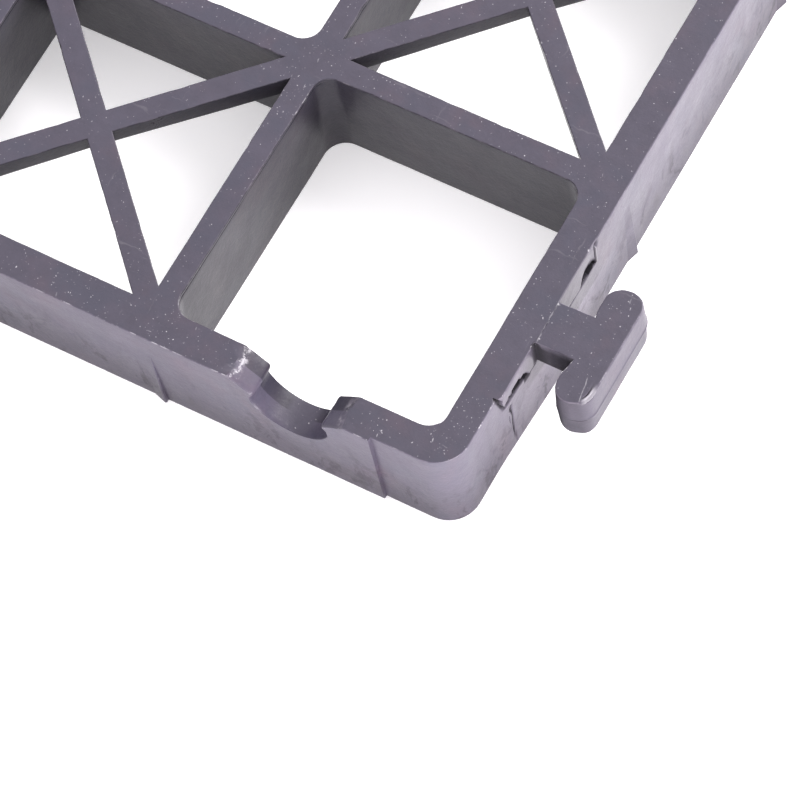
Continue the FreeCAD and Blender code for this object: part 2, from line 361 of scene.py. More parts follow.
# ------------------------------------------------------------------------- braces
def brace(cx, cy, angle):
    half = PITCH / math.sqrt(2)
    reach = CLEAR / math.sqrt(2)
    u = np.array(spread(-half + 0.6, half - 0.6, 3.2))
    deep = np.interp(np.abs(u), [0, reach - 9, half],
                     [ARM_DEEP_MID, ARM_DEEP_END - 0.8, ARM_DEEP_END])
    w = ARM_W / 2
    c, s = math.cos(math.radians(angle)), math.sin(math.radians(angle))
    rings = []
    for ui, di in zip(u, deep):
        low = w - (w - ARM_W_LOW / 2) * (di - EDGE) / (12 - EDGE)
        sec = [(-low + 0.5, -di), (low - 0.5, -di), (low - 0.12, -di + 0.12), (low, -di + 0.5)]
        sec += [(low + (w - low) * k, -di + (di - RE) * k) for k in (0.5,)]
        up = [(w - RE * (1 - math.cos(a)), -RE + RE * math.sin(a))
              for a in np.radians([0, 30, 60, 90])]
        sec += up
        sec += [(-y, z) for y, z in reversed(up)]
        sec += [(-(low + (w - low) * k), -di + (di - RE) * k) for k in (0.5,)]
        sec += [(-low, -di + 0.5), (-low + 0.12, -di + 0.12)]
        sec = np.array(sec)
        at = np.stack([cx + c * ui - s * sec[:, 0], cy + s * ui + c * sec[:, 0], H + sec[:, 1]], 1)
        side = np.sign(sec[:, 0])
        d = 0.07 * rough(at, 18, 61) + 0.04 * rough(at, 5, 62)
        edge = np.where(sec[:, 1] > -RE - 0.01, 1.0, 0.0)
        flat = at * np.array([1, 1, 0])
        d = d - edge * np.minimum(chips(flat, 63), 0.5)
        y = sec[:, 0] + side * d
        rings.append(np.stack([cx + c * ui - s * y, cy + s * ui + c * y, H + sec[:, 1]], 1))
    return loft(rings)


for angle in (45.0, -45.0):
    combine(body, joined("braces", [brace(cx, cy, angle) for cx, cy in braced]), "UNION")


# ----------------------------------------------------- wedges on the outer faces
def rib(y, quarter):
    rings = []
    for z in (0.0, 0.5, 5.0, 10.0, 15.0, 20.0, 25.0, 29.0, RIB_TOP):
        face = HALF - DRAFT_OUT * (1 - z / (H - EDGE))
        proud = (RIB_PROUD + DRAFT_OUT + 0.1) * (1 - z / 30.0) ** 0.8 if z < 30 else -0.25
        left = y - 2.1 - 0.35 * (1 - z / RIB_TOP)
        right = y + 1.3 + 1.0 * (1 - z / RIB_TOP)
        low = -0.10 if z > 0 else -0.35
        e = min(0.5, 0.25 + 0.2 * max(proud, 0))
        rings.append(np.array([(HALF - 4, left - 0.3, z), (face + low, left - 0.3, z), (face + 0.04 + low * 0.3, left + 0.25, z),
                               (face + proud * 0.5 + low * 0.3, (left + right) / 2, z),
                               (face + proud * 0.93 + low * 0.3, right - e, z), (face + proud * 0.72 + low * 0.3, right - 0.1, z),
                               (face + low, right, z), (HALF - 4, right, z)]))
    return loft([turn(r, quarter) for r in rings])


combine(body, joined("ribs", [rib(centres[i] + PITCH / 2, q) for q in range(4)
                              for i in range(CELLS - 1)]), "UNION")


# ------------------------------------------------------------------------ tongues
def stem(quarter):
    y0, w = TONGUE_Y, STEM_W / 2
    zs = H - STEM_SIDE
    r = (w * w + STEM_BELLY * STEM_BELLY) / (2 * STEM_BELLY)
    mid = zs - STEM_BELLY + r
    a0 = math.atan2(zs - mid, -w)
    a0 = a0 if a0 < 0 else a0 - 2 * math.pi
    a1 = math.atan2(zs - mid, w)
    sec = [(r * math.cos(a), mid + r * math.sin(a)) for a in np.linspace(a0, a1, 13)]
    sec += [(w, zs + 4.0), (w, zs + 8.0)]
    up = [(w - RE * (1 - math.cos(a)), H - RE + RE * math.sin(a)) for a in np.radians([0, 30, 60, 90])]
    sec += up + [(-y, z) for y, z in reversed(up)]
    sec += [(-w, zs + 8.0), (-w, zs + 4.0)]
    sec = np.array(sec)
    rings = []
    for x in spread(HALF - 3, HALF + HEAD_REACH - HEAD_T / 2, 1.3):
        at = np.stack([np.full(len(sec), x), y0 + sec[:, 0], sec[:, 1]], 1)
        d = 0.06 * rough(at, 9, 71 + quarter)
        d = d - np.where(sec[:, 1] > H - RE - 0.01, np.minimum(chips(at * np.array([1, 1, 0]), 73 + quarter), 0.5), 0)
        at[:, 1] += np.sign(sec[:, 0]) * d
        if quarter == 0:
            at[:, 1] += np.where(sec[:, 0] > 0, 0.35 + 0.4 * np.clip((x - HALF) / 18, 0, 1), 0) * ramp(sec[:, 1], zs - 5, zs)
        rings.append(at)
    return loft([turn(g, quarter) for g in rings])


def head(quarter):
    y0 = TONGUE_Y
    hx = HALF + HEAD_REACH - HEAD_T / 2
    r = HEAD_T / 2
    s = HEAD_L / 2 - r
    p, n = [], []
    for t in spread(-s, s, 1.2):
        p.append((hx + r, y0 + t)); n.append((1.0, 0.0))
    for a in np.linspace(0, math.pi, 22)[1:-1]:
        p.append((hx + r * math.cos(a), y0 + s + r * math.sin(a))); n.append((math.cos(a), math.sin(a)))
    for t in spread(s, -s, 1.2):
        p.append((hx - r, y0 + t)); n.append((-1.0, 0.0))
    for a in np.linspace(math.pi, 2 * math.pi, 22)[1:-1]:
        p.append((hx + r * math.cos(a), y0 - s + r * math.sin(a))); n.append((math.cos(a), math.sin(a)))
    p0, n0 = np.array(p), np.array(n)
    ang = np.degrees(np.arctan2(n0[:, 1], n0[:, 0]))
    flat = np.concatenate([p0, np.zeros((len(p0), 1))], 1)
    zp, zb = H - HEAD_PART, H - HEAD_H
    nick = np.minimum(chips(flat, 83 + quarter), 0.5)
    plain = ramp(-n0[:, 1], 0.15, 0.75)
    flash = (0.16 + 0.10 * rough(flat, 3.0, 85 + quarter)) * (1 - 0.9 * plain)
    nib = 0.55 * bell(ang, 38, 16) * (p0[:, 1] > y0)
    # a thin flake curled off the outer top edge of one end
    way = np.where(p0[:, 1] < y0 - s, np.radians(np.clip(ang, -120, 0)) * r, p0[:, 1] - (y0 - s))
    flake = bell(way, -1.3, 5.2) ** 0.6 * (n0[:, 0] > 0.02) * (1.0 if quarter in (0, 2) else 0.35)
    # both ends are a little fuller on the side towards the wall
    full = 1.15 * ramp(y0 - p0[:, 1], 6, 13) * np.clip(-n0[:, 0] + 0.25, 0, 1)
    full += 1.35 * ramp(p0[:, 1] - y0, 3, 11) * np.clip(-n0[:, 0], 0, 1) ** 2
    full *= 1.0 if quarter == 0 else 0.3
    levels = [(zb, -1.0), (zb + 0.25, -0.5), (zb + 0.9, -0.12), (zb + 2.0, 0.0), (zp - 4.0, 0.0), (zp - 0.7, 0.0),
              (zp - 0.35, 0.0), (zp - 0.12, None), (zp + 0.12, None), (zp + 0.35, 0.0), (zp + 1.2, 0.0), (zp + 4.5, 0.0), (H - 1.35, 0.0)]
    levels += [(H - HEAD_RE + HEAD_RE * math.sin(a), -HEAD_RE * (1 - math.cos(a)))
               for a in np.radians([0, 25, 50, 72, 90])]
    levels += [(H, -HEAD_RE - w) for w in (0.35, 0.8, 1.3, 2.0)]
    curl = [(0.42, 0.30), (0.50, -0.07), (0.46, 0.35), (0.56, 0.44), (0.26, 0.50), (0.12, 0.35),
            (0.42, 0.30), (0.02, 0.12), (0.0, 0.0)]
    rings, k = [], 0
    for z, off in levels:
        at = np.concatenate([p0, np.full((len(p0), 1), z)], 1)
        base = -0.34 - (0.22 if z < zp else 0.0) * (1 - plain) + full + 0.16 * ramp(n0[:, 0], 0.3, 0.8)
        drop = HEAD_DRAFT * abs(z - zp) / HEAD_PART
        if off is None:
            d = np.minimum(-0.30 + flash + nib, 0.5) - 0.06 * plain + 0.16 * ramp(n0[:, 0], 0.3, 0.8)
            d = np.where(n0[:, 0] > 0.6, np.minimum(d, -0.02), d + full)
        else:
            d = base - drop + off + 0.06 * rough(at, 14, 87) + 0.04 * rough(at, 4, 88)
        if z > H - HEAD_RE - 0.1 and off is not None and off > -HEAD_RE - 0.01:
            d = d - nick * (z - H + HEAD_RE + 0.1)
        zz = np.full(len(p0), z)
        if z > H - HEAD_RE - 0.01:
            drop_z, in_d = curl[k]
            zz, d = zz - flake * drop_z, d - flake * in_d
            k += 1
        rings.append(np.concatenate([p0 + n0 * d[:, None], zz[:, None]], 1))
    return loft([turn(g, quarter) for g in rings])


combine(body, joined("stems", [stem(q) for q in range(4)]), "UNION")
combine(body, joined("heads", [head(q) for q in range(4)]), "UNION")


# ------------------------------------------------------------------------ notches
def notch(quarter):
    y0 = NOTCH_Y
    t, h = NOTCH_TOP / 2, NOTCH_LIPS / 2
    k = h + NOTCH_BACK
    over = 2.0
    t2 = t + over * (t - h) / NOTCH_RAMP
    z1 = H - NOTCH_RAMP
    z2 = z1 - NOTCH_LIP
    z3 = z2 - NOTCH_BACK
    z4 = H - NOTCH_SIDE
    side = [(t2, H + over)]
    side += [(t + (h - t) * f, H - NOTCH_RAMP * f) for f in (0.0, 0.2, 0.4, 0.6, 0.8, 0.94)]
    side += [(h, z1 - 0.35), (h, z2 + 0.1), (h + 0.5 * NOTCH_BACK, (z2 + z3) / 2), (k, z3 - 0.1), (k, z4)]
    deep = NOTCH_DEEP - NOTCH_SIDE
    r = (k * k + deep * deep) / (2 * deep)
    mid = z4 - deep + r
    a0 = math.atan2(z4 - mid, -k)
    a0 = a0 if a0 < 0 else a0 + -2 * math.pi
    a1 = math.atan2(z4 - mid, k)
    sec = [(-y, z) for y, z in side]
    sec += [(r * math.cos(a), mid + r * math.sin(a)) for a in np.linspace(a0, a1, 21)[1:-1]]
    sec += [(y, z) for y, z in reversed(side)]
    sec = np.array(sec)
    nxt, prv = np.roll(sec, -1, 0), np.roll(sec, 1, 0)
    def unit(v):
        return v / np.linalg.norm(v, axis=1, keepdims=True)
    e = unit(nxt - sec) + unit(sec - prv)
    out = unit(np.stack([e[:, 1], -e[:, 0]], 1))
    rings = []
    for x, d in ((HALF - WALL_OUT - 3, 1.9), (HALF - WALL_OUT - 0.35, 0.75), (HALF - WALL_OUT + 0.2, 0.3),
                 (HALF - WALL_OUT + 0.75, 0.05), (HALF - WALL_OUT + 3, 0.0), (HALF - WALL_OUT + 5.5, 0.0),
                 (HALF - 4, 0.0), (HALF - 2, 0.0), (HALF - 1.0, 0.05), (HALF - 0.45, 0.25),
                 (HALF + 0.1, 0.65), (HALF + 3, 2.4)):
        at = np.stack([np.full(len(sec), x), y0 + sec[:, 0], sec[:, 1]], 1)
        dd = d + 0.10 * rough(at, 6, 91 + quarter) + 0.14 * rough(at, 1.6, 95 + quarter) * (sec[:, 1] > z4)
        q2 = sec + out * dd[:, None]
        rings.append(np.stack([np.full(len(sec), x), y0 + q2[:, 0], q2[:, 1]], 1))
    return loft([turn(g, quarter) for g in rings])


combine(body, joined("notches", [notch(q) for q in range(4)]), "DIFFERENCE")


# hairline where each stem's top was trimmed flush with the wall
def root_line(quarter):
    rings = []
    for y in spread(TONGUE_Y - 6.6, TONGUE_Y + 6.6, 0.9):
        at = np.array([[HALF, y, 0.0]])
        x = HALF + 0.1 + 0.45 * rough(at, 3.1, 97 + quarter)[0]
        w = 0.16 + 0.10 * rough(at, 1.3, 98 + quarter)[0]
        deep = 0.16 + 0.10 * rough(at, 1.9, 99 + quarter)[0]
        rings.append(np.array([(x - w, y, H + 0.5), (x, y, H - deep), (x + w, y, H + 0.5)]))
    v, f = loft([turn(g, quarter) for g in rings])
    return v, f


combine(body, joined("root_lines", [root_line(q) for q in range(4)]), "DIFFERENCE")

# ------------------------------------------------------------------ finish the mesh
me = body.data
bm = bmesh.new()
bm.from_mesh(me)
bmesh.ops.dissolve_degenerate(bm, dist=0.0005, edges=bm.edges)
bmesh.ops.triangulate(bm, faces=[f for f in bm.faces if len(f.verts) > 4])
open_edges = sum(1 for e in bm.edges if not e.is_manifold)
volume = bm.calc_volume()
bm.to_mesh(me)
bm.free()


def face_marks(co):
    """For each vertex: how dark it is with scuffs, dirt and painted shade in hollows, cracks, grooves and corners, and
    how pale with painted highlights on the flake and the ridge.
    """
    dark, pale = np.zeros(len(co)), np.zeros(len(co))
    # painted shade in the groove under the cells' edges
    for cx in centres[2:]:
        wall = (np.abs(co[:, 0] - (cx - CLEAR / 2)) < 1.2) & (np.abs(co[:, 2] - CELL_LINE) < 0.05)
        wall &= (np.max(np.abs(co[:, :2]), axis=1) < HALF - WALL_OUT)
        dark = np.maximum(dark, wall * np.clip(0.55 + 0.6 * rough(co, 9.0, 57), 0, 0.9))
    for q in range(4):
        u, t, z = turn(co, -q).T
        s = t - TONGUE_Y
        on = (u > HALF - 7) & (u < HALF + 1.2) & (np.abs(t) < HALF - R_OUT)
        face = HALF - DRAFT_OUT * (1 - np.minimum(z, H - EDGE) / (H - EDGE))
        sunk = (z < Z_SLIT - 0.1) & (s <= 0) & (s >= -(LINK_AT - RELIEF_L))
        deep = face - np.where(sunk, RELIEF * (-s / (LINK_AT - RELIEF_L)), 0) - u
        end = strip_end(z)
        gap = on & (t > end + 0.03) & (s < 31) & (z > Z_SLIT - 0.9) & (z < H - 0.8)
        crack = on & (s > -24.4) & (s < -20.4) & (z > 3) & (z < 25.8)
        torn = on & (z > Z_SLIT) & (z < H - 0.05)
        # painted shade deep in the slit's gap and in the crack
        dark = np.maximum(dark, gap * ramp(deep, 0.12, 1.3))
        dark = np.maximum(dark, crack * ramp(deep, 0.14, 0.6))
        # dirt and painted shade in the hollows, darkest on the gap's ledge under the lip
        for mid, half, tall, _, lip, w, sd in HOLLOWS:
            span = np.clip(1 - ((s - mid) / half) ** 2, 0, 1) ** 0.5
            h = np.clip((z - Z_SLIT) / (tall * span + 0.01), 0, 1)
            hollow_dirt_and_shade = 0.88 * ramp(1 - h, 0.0, 0.30) * (0.92 + 0.25 * rough(co, 0.8, sd + 5))
            on_ledge = (z < Z_SLIT + 1.0) & (deep > 0.25)
            hollow_dirt_and_shade = np.where(on_ledge, 0.84 + 0.30 * rough(co, 0.55, sd + 6), hollow_dirt_and_shade)
            hollow_dirt_and_shade = np.where(deep < 0.7, np.maximum(hollow_dirt_and_shade, on_ledge), hollow_dirt_and_shade) * (span > 0.05)
            dark = np.maximum(dark, gap * (z > Z_SLIT - 0.1) * np.clip(hollow_dirt_and_shade, 0, 1) * WEAR[q][w])
        # painted shade on the strip's torn, stepped end
        dark = np.maximum(dark, torn * bell(t, end - 0.25, 1.3) ** 0.6 * ramp(deep, 0.5, 1.4))
        # painted shadow on the face just under the strip's overhanging edge
        over = RELIEF * np.clip(-s / (LINK_AT - RELIEF_L), 0, 1)
        under = on & (s > -14.5) & (s < -6.8) & (z < Z_SLIT + 0.2) & (z > Z_SLIT - 2.9 * over - 0.35)
        dark = np.maximum(dark, 0.85 * WEAR[q][1] * under)
        # painted shade on the stems' sides, darkest in the corner against the wall
        stem_side = (u > HALF + 0.1) & (u < HALF + 12.2) & (np.abs(s) < 8.8) & (z < H - 0.7)
        dark = np.maximum(dark, stem_side * (0.66 + 0.30 * (1 - ramp(u, HALF + 0.2, HALF + 4.5))))
        bruise = on & (s > -10.2) & (s < -6.6) & (z > H - 2.4) & (z < H - 0.01)
        dark = np.maximum(dark, WEAR[q][0] * bruise * ramp(deep, 0.15, 0.5) * np.clip(0.7 + 0.6 * rough(co, 0.8, 147), 0, 1))
        # painted shade on the wall face in the corner beside the stem
        nook = on & (s > -9.4) & (s < -6.9) & (z > H - 11) & (z < H - 0.3)
        dark = np.maximum(dark, nook * 0.85 * ramp(s, -9.6, -8.2))
        # the flake on the head's edge: a painted highlight on its lip between two lines of painted shadow; painted
        # shade on that end of the head, strongest on its side towards the wall
        dx = u - (HALF + HEAD_REACH - HEAD_T / 2)
        dy = s + HEAD_L / 2 - HEAD_T / 2
        out = np.where(dy < 0, np.hypot(dx, dy), dx)
        way = np.where(dy < 0, np.arctan2(dy, dx) * HEAD_T / 2, dy)
        flake = bell(way, -1.3, 5.2) ** 0.6 * (dx > 0.1) * (u > HALF + 12) * (1.0 if q in (0, 2) else 0.35)
        end_side = (u > HALF + 11) & (dy < 0.5) & (z < H - 0.45) * (np.hypot(dx, dy) > 4.2)
        facing = ramp(-dy / (np.hypot(dx, dy) + 1e-6), 0.25, 0.95)
        inward = ramp(-dx / (np.hypot(dx, dy) + 1e-6), 0.15, 0.75)
        dark = np.maximum(dark, end_side * np.maximum(0.26 * facing, 0.72 * inward) * (1 + 0.35 * rough(co, 3.0, 143)))
        pale = np.maximum(pale, 0.62 * ramp(flake, 0.2, 0.8) * (z > H - 0.86) * (out > 4.06) * (out < 5.7))
        dark = np.maximum(dark, 0.9 * flake * (((z < H - 0.86) & (z > H - 1.1) & (out > 4.9) & (out < 5.4))
                                               | ((z < H - 0.22) & (z > H - 0.5) & (out > 3.6) & (out < 4.06))))
        # and a dark line runs just under the parting line round the head
        seam = (u > HALF + 11) & (np.abs(z - (H - HEAD_PART) + 0.33) < 0.1)
        dark = np.maximum(dark, seam * np.clip(0.62 + 0.5 * rough(co, 4.0, 145), 0, 0.9))
        # painted highlight on the thin ridge beside the upright line
        pale = np.maximum(pale, 0.65 * on * bell(s, 29.35, 0.45) * (z > Z_SLIT) * (z < 38) * ramp(-deep, 0.02, 0.16))
    return dark, pale


points = np.empty(len(me.vertices) * 3, np.float32)
me.vertices.foreach_get("co", points)
for name, values in zip(("dirt_and_painted_shade", "painted_highlight"), face_marks(points.reshape(-1, 3).astype(float))):
    me.attributes.new(name, "FLOAT", "POINT").data.foreach_set("value", values.astype(np.float32))
me.transform(Matrix.Scale(0.001, 4))
me.update()
me.polygons.foreach_set("use_smooth", np.ones(len(me.polygons), bool))
me.set_sharp_from_angle(angle=math.radians(38))
body.name = "paver_grid_moulding"
weighted = body.modifiers.new("weighted", "WEIGHTED_NORMAL")
weighted.mode, weighted.weight, weighted.keep_sharp = "FACE_AREA", 60, True
me.calc_loop_triangles()
print("moulding: %d triangles, %d open edges, %.1f cm3" % (len(me.loop_triangles), open_edges, volume / 1000))


# ----------------------------------------------------------------------- materials
class Nodes:
    """Short ways to add and link shader nodes."""

    def __init__(self, name):
        self.material = bpy.data.materials.new(name)
        self.material.use_nodes = True
        self.tree = self.material.node_tree
        self.tree.nodes.clear()

    def add(self, kind, **inputs):
        node = self.tree.nodes.new(kind)
        for key, value in inputs.items():
            key = key.replace("_", " ")
            if hasattr(value, "is_output") or isinstance(value, bpy.types.NodeSocket):
                self.tree.links.new(value, node.inputs[key])
            else:
                node.inputs[key].default_value = value
        return node

    def link(self, a, b):
        self.tree.links.new(a, b)

    def math(self, op, a, b=None, c=None, clamp=False):
        node = self.tree.nodes.new("ShaderNodeMath")
        node.operation, node.use_clamp = op, clamp
        for i, v in enumerate((a, b, c)):
            if v is None:
                continue
            if isinstance(v, bpy.types.NodeSocket):
                self.tree.links.new(v, node.inputs[i])
            else:
                node.inputs[i].default_value = v
        return node.outputs[0]

    def vmath(self, op, a, b):
        node = self.tree.nodes.new("ShaderNodeVectorMath")
        node.operation = op
        for i, v in enumerate((a, b)):
            if isinstance(v, bpy.types.NodeSocket):
                self.tree.links.new(v, node.inputs[i])
            else:
                node.inputs[i].default_value = v
        return node.outputs["Value"] if op in ("DISTANCE", "DOT_PRODUCT", "LENGTH") else node.outputs["Vector"]

    def span(self, value, a, b, lo=0.0, hi=1.0, smooth=True):
        node = self.tree.nodes.new("ShaderNodeMapRange")
        node.interpolation_type = "SMOOTHSTEP" if smooth else "LINEAR"
        node.clamp = True
        self.tree.links.new(value, node.inputs[0])
        for i, v in zip((1, 2, 3, 4), (a, b, lo, hi)):
            if isinstance(v, bpy.types.NodeSocket):
                self.tree.links.new(v, node.inputs[i])
            else:
                node.inputs[i].default_value = v
        return node.outputs[0]

    def noise(self, vector, scale, detail=3.0, rough=0.55, distort=0.0):
        return self.add("ShaderNodeTexNoise", Vector=vector, Scale=scale, Detail=detail,
                        Roughness=rough, Distortion=distort).outputs["Fac"]

    def mapped(self, vector, scale=(1, 1, 1), turn=(0, 0, 0), move=(0, 0, 0)):
        return self.add("ShaderNodeMapping", Vector=vector, Scale=scale, Rotation=turn,
                        Location=move).outputs["Vector"]

    def mix(self, fac, a, b, blend="MIX"):
        node = self.tree.nodes.new("ShaderNodeMix")
        node.data_type, node.blend_type = "RGBA", blend
        for i, v in ((0, fac), (6, a), (7, b)):
            if isinstance(v, bpy.types.NodeSocket):
                self.tree.links.new(v, node.inputs[i])
            else:
                node.inputs[i].default_value = v
        return node.outputs[2]


def plastic():
    n = Nodes("recycled_plastic")
    out = n.add("ShaderNodeOutputMaterial")
    bsdf = n.add("ShaderNodeBsdfPrincipled")
    n.link(bsdf.outputs[0], out.inputs[0])
    coord = n.add("ShaderNodeTexCoord")
    pos = coord.outputs["Object"]
    geo = n.add("ShaderNodeNewGeometry")
    sep_n = n.add("ShaderNodeSeparateXYZ", Vector=geo.outputs["Normal"])
    sep_p = n.add("ShaderNodeSeparateXYZ", Vector=pos)
    up = sep_n.outputs[2]
    x, y, z = sep_p.outputs
    top = n.span(up, 0.9, 0.985)
    side = n.math("SUBTRACT", 1.0, top, clamp=True)
    high = n.span(z, 0.0378, 0.0389)
    edge = n.math("MULTIPLY", n.math("MULTIPLY", n.span(up, 0.12, 0.45), n.span(up, 0.985, 0.86)), high)

    # places that rub most: the corners, the links, and where walls cross
    places = [(248, -233, 15, 1.0), (243, -239, 10, 1.0), (248, -226, 8, 0.9), (250, -219, 5, 1.2), (146, -160, 14, 0.7), (263.7, -202.4, 5, 1.3), (268.5, -200.8, 6.5, 1.35), (264.9, -187.4, 4, 1.0), (271, -184, 5, 1.0),
              (268.3, -177, 6, 0.9), (258.4, -188.2, 3, 1.0), (250, -192, 8, 0.6), (249.6, -202.6, 3, 1.3),
              (176, -243, 17, 0.95), (150, -247, 18, 0.8), (222, -246, 14, 0.7), (205, -246, 12, 0.7),
              (146, -146, 20, 0.6), (49, -49, 24, 0.5), (120, -243, 24, 0.7), (243, -146, 14, 0.35),
              (49, -146, 20, 0.5), (-49, -146, 24, 0.4), (146, 49, 22, 0.4), (-49, 49, 24, 0.4),
              (-248, 233, 15, 0.8), (-266, 199, 9, 0.9), (233, 248, 15, 0.8), (199, 266, 9, 0.9),
              (-233, -248, 15, 0.8), (-199, -266, 9, 0.9)]
    rub = None
    for px, py, r, k in places:
        far = n.vmath("DISTANCE", pos, (px / 1000, py / 1000, 0.04))
        one = n.span(far, r / 1000, 0.1 * r / 1000, 0.0, k)
        rub = one if rub is None else n.math("MAXIMUM", rub, one)
    patchy = n.span(n.noise(pos, 30, 4, 0.62), 0.50, 0.74)
    breakup = n.noise(pos, 190, 3, 0.6)
    wear = n.math("MAXIMUM", n.math("MULTIPLY", rub, n.span(breakup, 0.36, 0.58)),
                  n.math("MULTIPLY", patchy, 0.40))

    # pale flecks: dots, dust and short marks in two directions
    wob = n.add("ShaderNodeTexNoise", Vector=pos, Scale=320.0, Detail=2.0)
    warp = n.add("ShaderNodeVectorMath")
    warp.operation = "MULTIPLY_ADD"
    n.link(wob.outputs["Color"], warp.inputs[0])
    warp.inputs[1].default_value = (0.0024, 0.0024, 0.0024)
    n.link(pos, warp.inputs[2])
    bent = warp.outputs["Vector"]

    def flecks(vector, scale, radius, gate_lo, gate_hi, dim):
        v = n.add("ShaderNodeTexVoronoi", Vector=vector, Scale=scale)
        v.feature = "F1"
        own = n.add("ShaderNodeSeparateColor", Color=v.outputs["Color"])
        size = n.span(own.outputs[2], 0.0, 1.0, 0.45, 1.2, smooth=False)
        near = n.span(n.math("DIVIDE", v.outputs["Distance"], size), radius, radius * 0.4)
        gate = n.span(wear, 0.0, 1.0, gate_lo, gate_hi, smooth=False)
        on = n.math("GREATER_THAN", own.outputs[0], gate)
        bright = n.span(own.outputs[1], 0.0, 1.0, dim, 1.0, smooth=False)
        return n.math("MULTIPLY", n.math("MULTIPLY", near, on), bright)

    crumb = n.noise(pos, 1900, 2, 0.6)
    dots = n.math("MULTIPLY", flecks(bent, 300, 0.135, 0.70, 0.10, 0.25), n.span(crumb, 0.42, 0.54))
    dust = n.math("MULTIPLY", flecks(bent, 620, 0.20, 0.68, 0.16, 0.10), n.span(crumb, 0.40, 0.52))
    fine_dust = flecks(bent, 1150, 0.22, 0.80, 0.18, 0.12)
    mark_a = flecks(n.mapped(bent, (1.0, 0.22, 0.5), (0, 0, math.radians(28))), 620, 0.14, 0.985, 0.55, 0.10)
    mark_b = flecks(n.mapped(bent, (0.2, 1.0, 0.5), (0, 0, math.radians(-17))), 600, 0.14, 0.985, 0.60, 0.10)
    fleck = n.math("MAXIMUM", n.math("MAXIMUM", dots, dust), n.math("MULTIPLY", n.math("MAXIMUM", mark_a, mark_b), 0.7))
    fleck = n.math("MAXIMUM", fleck, fine_dust)
    fleck = n.math("MULTIPLY", fleck, n.span(top, 0.0, 1.0, 0.10, 1.0, smooth=False))

    # pale broken line across each stem where it leaves the wall
    root, by_link = None, None
    wander = n.math("MULTIPLY", n.math("SUBTRACT", n.noise(pos, 260, 3), 0.5), 0.0016)
    for along, across, at_a, at_c in ((y, x, -0.1938, 0.2501), (x, y, 0.1938, 0.2501),
                                      (y, x, 0.1938, -0.2501), (x, y, -0.1938, -0.2501)):
        line = n.span(n.math("ABSOLUTE", n.math("ADD", n.math("SUBTRACT", across, at_c), wander)), 0.00032, 0.00008)
        line = n.math("MULTIPLY", line, n.span(n.math("ABSOLUTE", n.math("SUBTRACT", along, at_a)), 0.0073, 0.0062))
        root = line if root is None else n.math("MAXIMUM", root, line)
        # how near the outer wall beside this link is, for the painted light below
        near = n.span(n.math("ABSOLUTE", n.math("SUBTRACT", along, at_a)), 0.040, 0.014)
        near = n.math("MULTIPLY", near, n.span(n.math("ABSOLUTE", n.math("SUBTRACT", across, at_c)), 0.0060, 0.0030))
        by_link = near if by_link is None else n.math("MAXIMUM", by_link, near)
    root = n.math("MULTIPLY", n.math("MULTIPLY", root, top), n.span(n.noise(pos, 420, 3, 0.6), 0.40, 0.62, 0.10, 0.40))
    bow = n.math("ADD", x, n.math("MULTIPLY", n.math("ADD", y, 0.20865), 0.18))
    line = n.span(n.math("ABSOLUTE", n.math("ADD", n.math("SUBTRACT", bow, 0.26985), n.math("MULTIPLY", wander, 0.6))), 0.00022, 0.00006)
    line = n.math("MULTIPLY", line, n.span(n.math("ABSOLUTE", n.math("ADD", y, 0.2084)), 0.0044, 0.0034))
    root = n.math("MAXIMUM", root, n.math("MULTIPLY", n.math("MULTIPLY", line, top), n.span(n.noise(pos, 420, 3, 0.6), 0.36, 0.6, 0.15, 0.55)))
    for px, py, r in ((250.2, -187.3, 0.55), (250.0, -193.0, 0.4), (250.3, -199.6, 0.45), (249.6, -167.4, 0.5)):
        spot = n.span(n.vmath("DISTANCE", bent, (px / 1000 + 0.0012, py / 1000 + 0.0012, 0.0412)), r / 1000, 0.4 * r / 1000)
        root = n.math("MAXIMUM", root, spot)

    # long faint scratches and drag marks
    drag = n.noise(n.mapped(bent, (55, 850, 300), (0, 0, math.radians(33))), 1.0, 2, 0.5)
    drag2 = n.noise(n.mapped(bent, (850, 65, 300), (0, 0, math.radians(12))), 1.0, 2, 0.5)
    scratch = n.math("MULTIPLY", n.math("MAXIMUM", n.span(drag, 0.66, 0.73), n.span(drag2, 0.67, 0.74)),
                     n.span(n.noise(pos, 55, 2), 0.48, 0.64))

